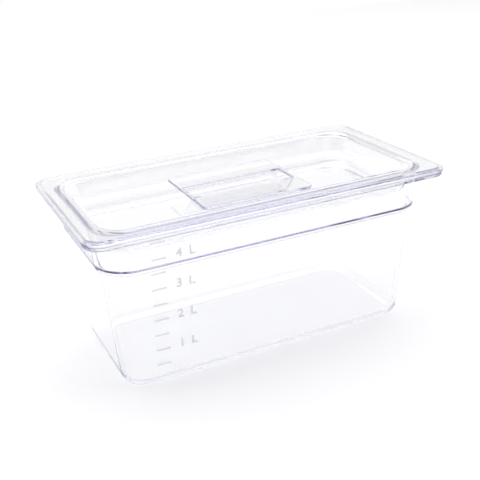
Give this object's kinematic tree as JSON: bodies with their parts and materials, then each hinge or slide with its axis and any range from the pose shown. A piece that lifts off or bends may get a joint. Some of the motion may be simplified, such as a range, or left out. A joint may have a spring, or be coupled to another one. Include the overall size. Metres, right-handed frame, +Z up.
{
  "type": "deli food pan",
  "caption": "Clear rectangular food pan with a stacking shoulder and capacity marks, closed by a recessed lift-off lid with a central finger grip.",
  "frame": {"origin": "centre of the footprint, on the surface the pan rests on", "axes": "+X along the pan's length, +Y across it towards the side without the capacity marks, +Z up"},
  "size_m": [0.325, 0.176, 0.148],
  "materials": {
    "pan_clear": "clear polished polycarbonate",
    "lid_clear": "clear polished polycarbonate",
    "grip_clear": "clear polished polycarbonate"
  },
  "bodies": {
    "pan": {"pan_body": "pan_clear"},
    "lid": {"lid_cover": "lid_clear", "lid_grip": "grip_clear"}
  },
  "joints": [
    {"name": "lid_lift", "type": "slide", "parent": "pan", "child": "lid", "axis": [0, 0, 1], "range_m": [0, 0.08]}
  ]
}
